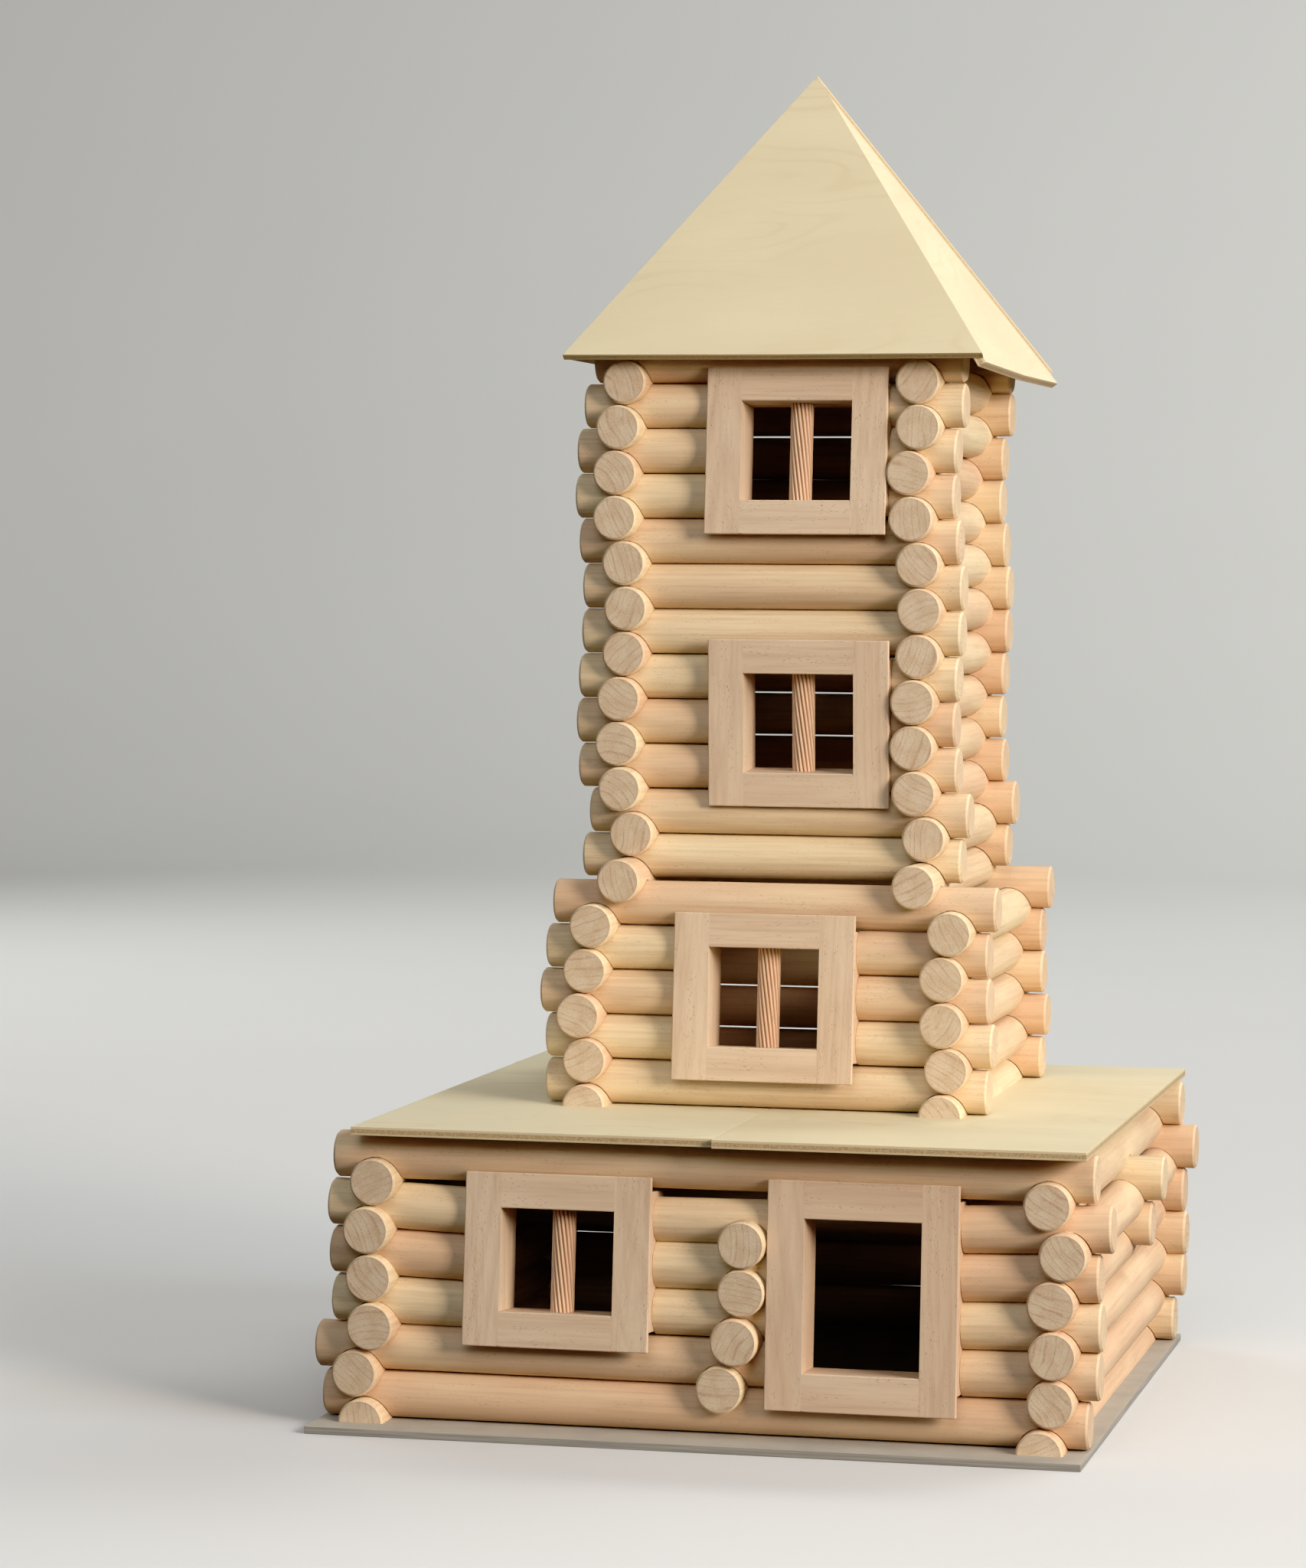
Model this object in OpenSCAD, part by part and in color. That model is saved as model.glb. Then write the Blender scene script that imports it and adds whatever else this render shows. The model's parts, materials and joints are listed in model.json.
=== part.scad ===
// Toy tower of notched round logs on a ground storey with a deck, under a plywood pyramid roof.
// Millimetres, +Z up, front wall towards -Y, origin at the middle of the base board's underside.
// X logs run along the front and back walls, Y logs along the side walls, half a pitch apart.
// Every log is notched on its underside only, over the logs that cross below it.

/* [Logs] */
// diameter of the logs of the middle storey and the tower
log_d = 15.7; // [15:0.1:16]
// height from one log to the next in the middle storey and the tower
pitch = 16.2; // [16.1:0.05:16.8]
// diameter of the slightly thicker logs of the ground storey
base_log_d = 16.2; // [15.6:0.1:16.4]
// height from one log to the next in the ground storey
base_pitch = 16.7; // [16.6:0.05:17.2]
// chamfer round both ends of every log
end_chamfer = 0.9; // [0.4:0.1:2]
// clearance between a notch and the log it sits over
saddle_gap = 0.3; // [0.2:0.05:0.6]

/* [Board and deck] */
// width of the base board along X
board_w = 269; // [262:1:290]
// depth of the base board along Y
board_l = 281; // [276:1:300]
// thickness of the base board
board_t = 2.6; // [1.5:0.1:5]
// width of each of the two deck sheets
deck_sheet_w = 127.5; // [124:0.5:131]
// depth of each deck sheet
deck_sheet_l = 279; // [270:1:290]
// thickness of the deck sheets
deck_t = 3; // [2:0.5:5]

/* [Plan] */
// distance between opposite walls of the ground storey, centre to centre
base_span = 240; // [238:1:242]
// distance between opposite walls of the middle storey, centre to centre
middle_span = 130; // [129:1:132]
// distance between opposite walls of the tower, centre to centre
tower_span = 107; // [106:0.5:108]
// how far the log ends stand out past the crossing wall, on the left and right
end_x = 15.5; // [13:0.5:18]
// how far the log ends stand out past the crossing wall, at front and back
end_y = 13.8; // [12:0.2:16]
// length of the tower's logs along X
tower_log_l = 138; // [134:0.5:142]
// length of the stub logs that hold the short front logs between window and door
stub_l = 46; // [34:1:90]

/* [Windows and door] */
// outer width of a window frame
window_w = 65.6; // [63:0.1:66]
// outer height of a window frame
window_h = 59.8; // [57:0.1:61]
// width of a frame upright
stile_w = 12.8; // [10:0.1:15]
// height of a frame crosspiece
rail_h = 12.2; // [9.5:0.1:13]
// depth of the frames from front to back
frame_depth = 21.5; // [14:0.5:24]
// how far the frames stand out in front of the logs
frame_proud = 4.2; // [3.8:0.1:5]
// thickness of the front lip that laps the logs above and below a frame
frame_lip = 2; // [1:0.1:2.2]
// diameter of the fluted dowel in each window
dowel_d = 8.2; // [6:0.1:10]
// depth of the holes that hold the dowel
dowel_hole = 3; // [2:0.5:5]
// outer width of the door frame
door_w = 66; // [62:0.1:66.2]
// outer height of the door frame
door_h = 78.2; // [76:0.1:79]

/* [Roof] */
// half the width of the roof at its lower edge
eave_half = 76; // [75:0.5:82]
// height of the roof from its lower edge to the tip
roof_rise = 105.5; // [100:0.5:112]
// thickness of the roof panels
roof_t = 3; // [2:0.1:3]
// how far from the middle plane the front panel's tip is cut off
front_tip = 1.3; // [0.1:0.1:3]
// how far the right panel lies below the edges of the front and back ones
right_sink = 1; // [0:0.1:1.2]
// height of the roof's lower edge above the middle storey's foot
eave_z = 268.6; // [268:0.1:275]

/* [Hidden] */
$fn = 96;
joint_gap = 0.15;
end_gap = 0.25;
base_c = [2.5, 5];
middle_c = [6.4, 28.7];
tower_c = [5, 28.5];
roof_c = [8.5, 28.5];
roof_turn = -1;
base_z = board_t;
deck_z = base_z + 6 * base_pitch;
middle_z = deck_z + deck_t;
tower_z = middle_z + 5 * pitch;
beam_y = 25;
window_base_x = -48.6;
window_middle_x = 6.5;
window_low_x = 16.2;
window_top_x = 14.6;
door_x = 57.7;
// sideways slip of each course of side-wall logs, lowest course first
base_slip_l = [-0.2, -3, 3, 2.1, 1.4, 3.3];
base_slip_r = [-3.7, -0.3, 0.3, -0.4, 3.6, -2];
partition_x = [8.7, 13.9, 16.1, 16.3];
// how far each loose frame leans back, in degrees
base_lean = 5;
door_lean = 3.5;
middle_lean = 4.5;
low_lean = -2.9;
top_lean = 4.6;
middle_slip_l = [0.1, 0, -2.1, 0, 2.5];
middle_slip_r = [-0.5, 1.2, -0.3, -0.7, 2.1];
tower_slip_l = [2.2, 4, 0, -1.4, -0.6, 0.8, 1.6, 0.6, -2.4, -2.8, -1.6, 0.4];
tower_slip_r = [2, 3.4, 0, -1.2, -0.8, 0.6, 1.2, 0.4, -2, -3.2, 0.2, -0.2];
// slip of the tower's logs along X, lowest course first
tower_slip_x = [0.5, 3, -1.2, -2.1, -1.4, -0.3, 0, -1.4, -3, -2.4, 0.1];
// how much further each side-wall log stands out at the front than at the back
push = [0.6, -0.8, 1.0, -0.4, 0.8, -1.0, 0.2, -0.6, 1.2, -0.2, 0.4, -0.8];
log_wood = [0.87, 0.76, 0.6];
frame_wood = [0.84, 0.7, 0.58];
ply_wood = [0.89, 0.82, 0.66];

// centre lines of the side walls of each storey at course k
function base_l(k) = base_c[0] - base_span / 2 + base_slip_l[k];
function base_r(k) = base_c[0] + base_span / 2 + base_slip_r[k];
function middle_l(k) = middle_c[0] - middle_span / 2 + middle_slip_l[k];
function middle_r(k) = middle_c[0] + middle_span / 2 + middle_slip_r[k];
function tower_l(k) = tower_c[0] - tower_span / 2 + tower_slip_l[k];
function tower_r(k) = tower_c[0] + tower_span / 2 + tower_slip_r[k];
// front and back wall planes of a storey
function front_y(c, span) = c[1] - span / 2;
function back_y(c, span) = c[1] + span / 2;
// stub logs that lie in course k of the ground storey
function partition_at(k) = k >= 1 && k <= 4 ? [partition_x[k - 1]] : [];

// a log with chamfered ends, lying along +Z from the origin
module log_blank(d, l) {
  r = d / 2;
  rotate_extrude()
    polygon([
      [0, 0],
      [r - end_chamfer, 0],
      [r, end_chamfer],
      [r, l - end_chamfer],
      [r - end_chamfer, l],
      [0, l]
    ]);
}

// a log along X with notches over the crossing logs centred at the x values in cuts
module log_x(d, drop, x0, x1, y, z, cuts) {
  color(log_wood)
    difference() {
      translate([x0, y, z])
        rotate([0, 90, 0])
          log_blank(d, x1 - x0);
      for (c = cuts)
        translate([c, y - d, z - drop / 2])
          rotate([-90, 0, 0])
            cylinder(d = d + 2 * saddle_gap, h = 2 * d);
    }
}

// a log along Y with notches over the crossing logs centred at the y values in cuts
module log_y(d, drop, x, y0, y1, z, cuts) {
  color(log_wood)
    difference() {
      translate([x, y0, z])
        rotate([-90, 0, 0])
          log_blank(d, y1 - y0);
      for (c = cuts)
        translate([x - d, c, z - drop / 2])
          rotate([0, 90, 0])
            cylinder(d = d + 2 * saddle_gap, h = 2 * d);
    }
}

// a half log along Y, flat side down at height z
module sill_y(d, x, y0, y1, z) {
  color(log_wood)
    intersection() {
      translate([x, y0, z])
        rotate([-90, 0, 0])
          log_blank(d, y1 - y0);
      translate([x - d, y0 - 1, z])
        cube([2 * d, y1 - y0 + 2, d]);
    }
}

// one ground-storey log along X in course k (height k + 1/2) from x0 to x1
module base_log_x(k, x0, x1, y, cuts) {
  log_x(base_log_d, base_pitch, x0, x1, y, base_z + (k + 0.5) * base_pitch, cuts);
}

// one ground-storey log along Y in course k at x
module base_log_y(k, x) {
  y0 = front_y(base_c, base_span);
  y1 = back_y(base_c, base_span);
  beams = k >= 4 ? [beam_y] : [];
  log_y(base_log_d, base_pitch, x, y0 - end_y - push[k], y1 + end_y - push[k],
    base_z + k * base_pitch, concat([y0, y1], beams));
}

module board() {
  color([0.68, 0.65, 0.6])
    translate([-board_w / 2, -board_l / 2, 0])
      cube([board_w, board_l, board_t]);
}

module base_sills() {
  y0 = front_y(base_c, base_span) - end_y - push[0];
  y1 = back_y(base_c, base_span) + end_y - push[0];
  sill_y(base_log_d, base_l(0), y0, y1, base_z);
  sill_y(base_log_d, base_r(0), y0, y1, base_z);
}

module base_wall_left() {
  for (k = [1:5])
    base_log_y(k, base_l(k));
}

module base_wall_right() {
  for (k = [1:5])
    base_log_y(k, base_r(k));
}

// short logs that cross the front wall between window and door and end free inside
module base_partition() {
  y = front_y(base_c, base_span);
  for (k = [1:4])
    log_y(base_log_d, base_pitch, partition_x[k - 1], y - end_y - push[k],
      y - end_y - push[k] + stub_l, base_z + k * base_pitch, [y]);
}

module base_wall_back() {
  for (k = [0:5])
    base_log_x(k, base_l(k) - end_x, base_r(k) + end_x, back_y(base_c, base_span),
      [base_l(k), base_r(k)]);
}

module base_beams() {
  for (k = [3, 4])
    base_log_x(k, base_l(k) - end_x, base_r(k) + end_x, beam_y, [base_l(k), base_r(k)]);
}

// lowest and highest front logs, running the whole width
module base_front_long() {
  for (k = [0, 5])
    base_log_x(k, base_l(k) - end_x, base_r(k) + end_x, front_y(base_c, base_span),
      [base_l(k), base_r(k)]);
}

// front logs from the left corner to the window, and one under the window up to the door
module base_front_left() {
  y = front_y(base_c, base_span);
  base_log_x(1, base_l(1) - end_x, door_x - door_w / 2 - end_gap, y, concat([base_l(1)], partition_at(1)));
  for (k = [2:4])
    base_log_x(k, base_l(k) - end_x, window_base_x - window_w / 2 - end_gap, y, [base_l(k)]);
}

// short front logs between window and door, held by the stub logs
module base_front_mid() {
  for (k = [2:4])
    base_log_x(k, window_base_x + window_w / 2 + end_gap, door_x - door_w / 2 - end_gap,
      front_y(base_c, base_span), partition_at(k));
}

// short front logs from the door to the right corner
module base_front_right() {
  for (k = [1:4])
    base_log_x(k, door_x + door_w / 2 + end_gap, base_r(k) + end_x,
      front_y(base_c, base_span), [base_r(k)]);
}

// Frames: a front lip of full height laps the logs above and below the opening, and the
// part behind the lip fits between them. h_in is the height of the opening less clearance.
// Each frame leans back by an angle about the middle of its front face.

// leans its children back by a, about a line along X through y and z
module leaning(a, y, z) {
  translate([0, y, z])
    rotate([-a, 0, 0])
      translate([0, -y, -z])
        children();
}

function face_y(y, d) = y - d / 2 - frame_proud;
// lower and upper limit of the part behind the lip, which must stay clear when it leans
function low_in(h_in, a) = -h_in / 2 + max(0, frame_depth * sin(a));
function high_in(h_in, a) = h_in / 2 + min(0, frame_depth * sin(a));

// the two uprights of a frame centred at x and z in a wall whose logs are centred at y
module frame_stiles(x, y, z, d, w, h, h_in, a) {
  color(frame_wood)
    leaning(a, face_y(y, d), z)
      for (s = [-1, 1])
        translate([x + s * (w / 2 - stile_w / 2) - stile_w / 2, face_y(y, d), z])
          union() {
            translate([0, 0, -h / 2])
              cube([stile_w, frame_lip, h]);
            translate([0, 0, low_in(h_in, a)])
              cube([stile_w, frame_depth, high_in(h_in, a) - low_in(h_in, a)]);
          }
}

// one crosspiece of a frame; s is 1 for the top one and -1 for the bottom one
module frame_rail(x, y, z, d, w, h, h_in, rail, s, a) {
  l = w - 2 * stile_w - 2 * joint_gap;
  inner = h / 2 - rail;
  low = s > 0 ? inner : -h / 2;
  from = s > 0 ? inner : low_in(h_in, a);
  to = s > 0 ? high_in(h_in, a) : -inner;
  translate([x - l / 2, face_y(y, d), z])
    union() {
      translate([0, 0, low])
        cube([l, frame_lip, rail]);
      translate([0, 0, from])
        cube([l, frame_depth, to - from]);
    }
}

// height behind the lip of a frame that takes the place of n logs
function window_in(n, p, d) = (n + 1) * p - d - 0.6;

// both crosspieces of a window, with blind holes for the dowel
module window_rails(x, y, z, d, h_in, a) {
  inner = window_h / 2 - rail_h;
  color(frame_wood)
    leaning(a, face_y(y, d), z)
      difference() {
        union() {
          frame_rail(x, y, z, d, window_w, window_h, h_in, rail_h, 1, a);
          frame_rail(x, y, z, d, window_w, window_h, h_in, rail_h, -1, a);
        }
        translate([x, face_y(y, d) + frame_depth / 2, z - inner - dowel_hole])
          cylinder(d = dowel_d + 0.1, h = 2 * inner + 2 * dowel_hole);
      }
}

module window_dowel(x, y, z, d, a) {
  l = window_h - 2 * rail_h + 2 * dowel_hole - 0.4;
  color([0.78, 0.52, 0.36])
    leaning(a, face_y(y, d), z)
      translate([x, face_y(y, d) + frame_depth / 2, z - l / 2])
        cylinder(d = dowel_d, h = l);
}

// heights of the window and door centres
base_window_z = base_z + 3.5 * base_pitch;
door_z = base_z + 3 * base_pitch;
middle_window_z = middle_z + 2.5 * pitch;
low_window_z = tower_z + 3.5 * pitch;
top_window_z = tower_z + 9.5 * pitch;
base_front = front_y(base_c, base_span);
middle_front = front_y(middle_c, middle_span);
tower_front = front_y(tower_c, tower_span);

module base_window_stiles() {
  frame_stiles(window_base_x, base_front, base_window_z, base_log_d, window_w, window_h,
    window_in(3, base_pitch, base_log_d), base_lean);
}

module base_window_rails() {
  window_rails(window_base_x, base_front, base_window_z, base_log_d,
    window_in(3, base_pitch, base_log_d), base_lean);
}

module base_window_dowel() {
  window_dowel(window_base_x, base_front, base_window_z, base_log_d, base_lean);
}

module door_stiles() {
  frame_stiles(door_x, base_front, door_z, base_log_d, door_w, door_h,
    window_in(4, base_pitch, base_log_d), door_lean);
}

module door_rails() {
  color(frame_wood)
    leaning(door_lean, face_y(base_front, base_log_d), door_z)
      for (s = [-1, 1])
        frame_rail(door_x, base_front, door_z, base_log_d, door_w, door_h,
          window_in(4, base_pitch, base_log_d), rail_h + 0.8, s, door_lean);
}

// a deck sheet whose front left corner is at x, y
module deck_sheet(x, y) {
  color(ply_wood)
    translate([x, y, deck_z])
      cube([deck_sheet_w, deck_sheet_l, deck_t]);
}

module deck_left() {
  deck_sheet(-120.5, -132.5);
}

module deck_right() {
  deck_sheet(-120.5 + deck_sheet_w + 0.2, -135.5);
}

// one middle-storey log along X in course k
module middle_log_x(k, x0, x1, y, cuts) {
  log_x(log_d, pitch, x0, x1, y, middle_z + (k + 0.5) * pitch, cuts);
}

// one middle-storey log along Y in course k at x
module middle_log_y(k, x) {
  y0 = front_y(middle_c, middle_span);
  y1 = back_y(middle_c, middle_span);
  log_y(log_d, pitch, x, y0 - end_y - push[k], y1 + end_y - push[k], middle_z + k * pitch, [y0, y1]);
}

module middle_sills() {
  y0 = front_y(middle_c, middle_span) - end_y - push[0];
  y1 = back_y(middle_c, middle_span) + end_y - push[0];
  sill_y(log_d, middle_l(0), y0, y1, middle_z);
  sill_y(log_d, middle_r(0), y0, y1, middle_z);
}

module middle_wall_left() {
  for (k = [1:4])
    middle_log_y(k, middle_l(k));
}

module middle_wall_right() {
  for (k = [1:4])
    middle_log_y(k, middle_r(k));
}

module middle_wall_back() {
  for (k = [0:4])
    middle_log_x(k, middle_l(k) - end_x, middle_r(k) + end_x, back_y(middle_c, middle_span),
      [middle_l(k), middle_r(k)]);
}

module middle_front_long() {
  for (k = [0, 4])
    middle_log_x(k, middle_l(k) - end_x, middle_r(k) + end_x, middle_front,
      [middle_l(k), middle_r(k)]);
}

module middle_front_left() {
  for (k = [1:3])
    middle_log_x(k, middle_l(k) - end_x, window_middle_x - window_w / 2 - end_gap, middle_front,
      [middle_l(k)]);
}

module middle_front_right() {
  for (k = [1:3])
    middle_log_x(k, window_middle_x + window_w / 2 + end_gap, middle_r(k) + end_x, middle_front,
      [middle_r(k)]);
}

module middle_window_stiles() {
  frame_stiles(window_middle_x, middle_front, middle_window_z, log_d, window_w, window_h,
    window_in(3, pitch, log_d), middle_lean);
}

module middle_window_rails() {
  window_rails(window_middle_x, middle_front, middle_window_z, log_d, window_in(3, pitch, log_d),
    middle_lean);
}

module middle_window_dowel() {
  window_dowel(window_middle_x, middle_front, middle_window_z, log_d, middle_lean);
}

// ends of the tower's logs along X; the top ones are shorter so that the roof fits over them
function tower_x0(k) = k == 11 ? roof_c[0] - 68.8 : tower_c[0] + tower_slip_x[k] - tower_log_l / 2;
function tower_x1(k) = k == 11 ? roof_c[0] + 65.2 : tower_c[0] + tower_slip_x[k] + tower_log_l / 2;
function tower_back_x0(k) = k == 11 ? roof_c[0] - 66.8 : tower_x0(k);

// one tower log along X in course k
module tower_log_x(k, x0, x1, y, cuts) {
  log_x(log_d, pitch, x0, x1, y, tower_z + (k + 0.5) * pitch, cuts);
}

// one tower log along Y in course k at x
module tower_log_y(k, x) {
  y0 = front_y(tower_c, tower_span);
  y1 = back_y(tower_c, tower_span);
  log_y(log_d, pitch, x, y0 - end_y - push[k], y1 + end_y - push[k], tower_z + k * pitch, [y0, y1]);
}

// the tower's lowest side logs are as long as the middle storey's, whose top logs carry them
module tower_foot_logs() {
  y0 = front_y(middle_c, middle_span);
  y1 = back_y(middle_c, middle_span);
  for (x = [tower_l(0), tower_r(0)])
    log_y(log_d, pitch, x, y0 - end_y, y1 + end_y, tower_z, [y0, y1]);
}

module tower_wall_left() {
  for (k = [1:11])
    tower_log_y(k, tower_l(k));
}

module tower_wall_right() {
  for (k = [1:11])
    tower_log_y(k, tower_r(k));
}

module tower_wall_back() {
  for (k = [0:11])
    tower_log_x(k, tower_back_x0(k), tower_x1(k), back_y(tower_c, tower_span),
      [tower_l(k), tower_r(k)]);
}

module tower_front_long() {
  for (k = [0, 1, 5, 6, 7, 11])
    tower_log_x(k, tower_x0(k), tower_x1(k), tower_front, [tower_l(k), tower_r(k)]);
}

module tower_front_left() {
  for (k = [2:4])
    tower_log_x(k, tower_x0(k), window_low_x - window_w / 2 - end_gap, tower_front, [tower_l(k)]);
  for (k = [8:10])
    tower_log_x(k, tower_x0(k), window_top_x - window_w / 2 - end_gap, tower_front, [tower_l(k)]);
}

module tower_front_right() {
  for (k = [2:4])
    tower_log_x(k, window_low_x + window_w / 2 + end_gap, tower_x1(k), tower_front, [tower_r(k)]);
  for (k = [8:10])
    tower_log_x(k, window_top_x + window_w / 2 + end_gap, tower_x1(k), tower_front, [tower_r(k)]);
}

module tower_low_window_stiles() {
  frame_stiles(window_low_x, tower_front, low_window_z, log_d, window_w, window_h,
    window_in(3, pitch, log_d), low_lean);
}

module tower_low_window_rails() {
  window_rails(window_low_x, tower_front, low_window_z, log_d, window_in(3, pitch, log_d),
    low_lean);
}

module tower_low_window_dowel() {
  window_dowel(window_low_x, tower_front, low_window_z, log_d, low_lean);
}

module tower_top_window_stiles() {
  frame_stiles(window_top_x, tower_front, top_window_z, log_d, window_w, window_h,
    window_in(3, pitch, log_d), top_lean);
}

module tower_top_window_rails() {
  window_rails(window_top_x, tower_front, top_window_z, log_d, window_in(3, pitch, log_d),
    top_lean);
}

module tower_top_window_dowel() {
  window_dowel(window_top_x, tower_front, top_window_z, log_d, top_lean);
}

// Roof: four triangular panels. Front and back ones cover the edges of the side ones.
roof_z = middle_z + eave_z;
slant = sqrt(eave_half * eave_half + roof_rise * roof_rise);
slope = atan(roof_rise / eave_half);

// a panel over the -Y side, seen in the roof's own place; low_a and low_b let its corners hang lower
module roof_sheet(low_a, low_b, sink) {
  translate([0, -eave_half, 0])
    rotate([slope, 0, 0])
      translate([0, 0, -roof_t - sink])
        linear_extrude(height = roof_t)
          polygon([
            [-eave_half, -low_a],
            [0, -0.3 - (low_a + low_b) * 0.6],
            [eave_half, -low_b],
            [0, slant]
          ]);
}

// a front or back panel, cut off at the given distance from the middle plane
module roof_main(turn, tip) {
  color(ply_wood)
    translate([roof_c[0], roof_c[1], roof_z])
      rotate([0, 0, roof_turn + turn])
        difference() {
          roof_sheet(0, 0, 0);
          translate([-eave_half, -tip, -20])
            cube([2 * eave_half, 20, roof_rise + 40]);
        }
}

// a side panel, cut to fit between the front and back ones
module roof_side(turn, low_a, low_b, sink) {
  shell = roof_t / sin(slope) + joint_gap;
  color(ply_wood)
    translate([roof_c[0], roof_c[1], roof_z])
      rotate([0, 0, roof_turn + turn])
        intersection() {
          difference() {
            roof_sheet(low_a, low_b, sink);
            translate([-eave_half, -joint_gap / 2, -20])
              cube([2 * eave_half, 20, roof_rise + 40]);
          }
          translate([0, eave_half * 2, -20])
            rotate([90, 0, 0])
              linear_extrude(height = 4 * eave_half)
                polygon([
                  [-(eave_half - shell) - 20 * eave_half / roof_rise, 0],
                  [eave_half - shell + 20 * eave_half / roof_rise, 0],
                  [0, 20 + roof_rise - shell * roof_rise / eave_half]
                ]);
        }
}

module roof_front() {
  roof_main(0, front_tip);
}

module roof_back() {
  roof_main(180, joint_gap / 2);
}

module roof_left() {
  roof_side(-90, 0, 0, 0);
}

module roof_right() {
  roof_side(90, 3, 5, right_sink);
}

board();
base_sills();
base_wall_left();
base_wall_right();
base_partition();
base_wall_back();
base_beams();
base_front_long();
base_front_left();
base_front_mid();
base_front_right();
base_window_stiles();
base_window_rails();
base_window_dowel();
door_stiles();
door_rails();
deck_left();
deck_right();
middle_sills();
middle_wall_left();
middle_wall_right();
middle_wall_back();
middle_front_long();
middle_front_left();
middle_front_right();
middle_window_stiles();
middle_window_rails();
middle_window_dowel();
tower_foot_logs();
tower_wall_left();
tower_wall_right();
tower_wall_back();
tower_front_long();
tower_front_left();
tower_front_right();
tower_low_window_stiles();
tower_low_window_rails();
tower_low_window_dowel();
tower_top_window_stiles();
tower_top_window_rails();
tower_top_window_dowel();
roof_front();
roof_back();
roof_left();
roof_right();
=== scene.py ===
"""Looks of the toy log tower: logs, frames, dowels, plywood and board, built round the CAD frame."""

import json
import math
import random

import bmesh
import bpy
import numpy as np
from mathutils import Matrix, Vector

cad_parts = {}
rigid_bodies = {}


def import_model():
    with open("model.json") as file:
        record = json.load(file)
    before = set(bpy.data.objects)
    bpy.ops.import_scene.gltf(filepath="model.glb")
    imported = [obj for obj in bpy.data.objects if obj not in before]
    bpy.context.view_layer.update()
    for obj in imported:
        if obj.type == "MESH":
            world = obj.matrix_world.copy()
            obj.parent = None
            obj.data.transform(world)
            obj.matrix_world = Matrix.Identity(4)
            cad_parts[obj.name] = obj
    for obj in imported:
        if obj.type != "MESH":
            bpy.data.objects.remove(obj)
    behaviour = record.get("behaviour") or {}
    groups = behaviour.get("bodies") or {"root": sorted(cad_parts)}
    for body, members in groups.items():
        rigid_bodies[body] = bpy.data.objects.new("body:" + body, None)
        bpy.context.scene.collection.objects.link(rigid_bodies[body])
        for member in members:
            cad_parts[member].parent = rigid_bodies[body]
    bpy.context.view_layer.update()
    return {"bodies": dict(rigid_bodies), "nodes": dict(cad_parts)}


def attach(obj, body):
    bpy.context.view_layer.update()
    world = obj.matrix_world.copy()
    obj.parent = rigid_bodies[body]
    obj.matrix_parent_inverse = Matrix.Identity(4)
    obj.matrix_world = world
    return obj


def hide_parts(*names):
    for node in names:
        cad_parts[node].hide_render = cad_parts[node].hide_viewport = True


MM = 0.001
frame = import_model()
nodes = frame["nodes"]
body_of_node = {n: b for b, e in frame["bodies"].items() for n in nodes if nodes[n].parent == e}


# ---------------------------------------------------------------- materials


class Graph:
    """Short-hand for building one material's node graph."""

    def __init__(self, name):
        self.mat = bpy.data.materials.new(name)
        self.mat.use_nodes = True
        self.tree = self.mat.node_tree
        self.tree.nodes.clear()
        self.out = self.add("ShaderNodeOutputMaterial")
        self.bsdf = self.add("ShaderNodeBsdfPrincipled")
        self.link(self.bsdf.outputs["BSDF"], self.out.inputs["Surface"])

    def add(self, kind, **settings):
        node = self.tree.nodes.new(kind)
        for key, value in settings.items():
            setattr(node, key, value)
        return node

    def link(self, a, b):
        self.tree.links.new(a, b)

    def put(self, socket, value):
        if isinstance(value, bpy.types.NodeSocket):
            self.link(value, socket)
        else:
            socket.default_value = value

    def attr(self, name, out="Vector"):
        return self.add("ShaderNodeAttribute", attribute_name=name).outputs[out]

    def math(self, op, a, b=0.0):
        n = self.add("ShaderNodeMath", operation=op)
        self.put(n.inputs[0], a)
        self.put(n.inputs[1], b)
        return n.outputs[0]

    def times(self, a, b):
        return self.math("MULTIPLY", a, b)

    def stretch(self, vector, factors):
        """The vector scaled by a factor on each axis."""
        return self.vec("MULTIPLY", vector, factors)

    def vec(self, op, a, b=(0, 0, 0), scale=None):
        n = self.add("ShaderNodeVectorMath", operation=op)
        self.put(n.inputs[0], a)
        self.put(n.inputs[1], b)
        if scale is not None:
            self.put(n.inputs["Scale"], scale)
        return n.outputs["Value" if op == "LENGTH" else "Vector"]

    def noise(self, vector, scale=1.0, detail=2.0, rough=0.5, out="Fac", distortion=0.0):
        n = self.add("ShaderNodeTexNoise")
        self.put(n.inputs["Vector"], vector)
        n.inputs["Scale"].default_value = scale
        n.inputs["Detail"].default_value = detail
        n.inputs["Roughness"].default_value = rough
        n.inputs["Distortion"].default_value = distortion
        return n.outputs[out]

    def voronoi(self, vector):
        n = self.add("ShaderNodeTexVoronoi")
        self.put(n.inputs["Vector"], vector)
        n.inputs["Scale"].default_value = 1.0
        return n.outputs["Distance"]

    def ramp(self, fac, lo, hi, a=0.0, b=1.0):
        n = self.add("ShaderNodeMapRange", interpolation_type="SMOOTHSTEP")
        self.put(n.inputs["Value"], fac)
        for key, value in zip(("From Min", "From Max", "To Min", "To Max"), (lo, hi, a, b)):
            n.inputs[key].default_value = value
        return n.outputs["Result"]

    def mix(self, fac, a, b):
        n = self.add("ShaderNodeMix", data_type="RGBA", blend_type="MIX")
        self.put(n.inputs["Factor"], fac)
        for socket, value in ((n.inputs[6], a), (n.inputs[7], b)):
            if isinstance(value, tuple) and len(value) == 3:
                value = (*value, 1.0)
            self.put(socket, value)
        return n.outputs[2]

    def bump(self, height, distance, strength):
        n = self.add("ShaderNodeBump")
        n.inputs["Strength"].default_value = strength
        n.inputs["Distance"].default_value = distance
        self.put(n.inputs["Height"], height)
        return n.outputs["Normal"]


def shaded(colour, factor):
    return tuple(factor * c for c in colour)


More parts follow.
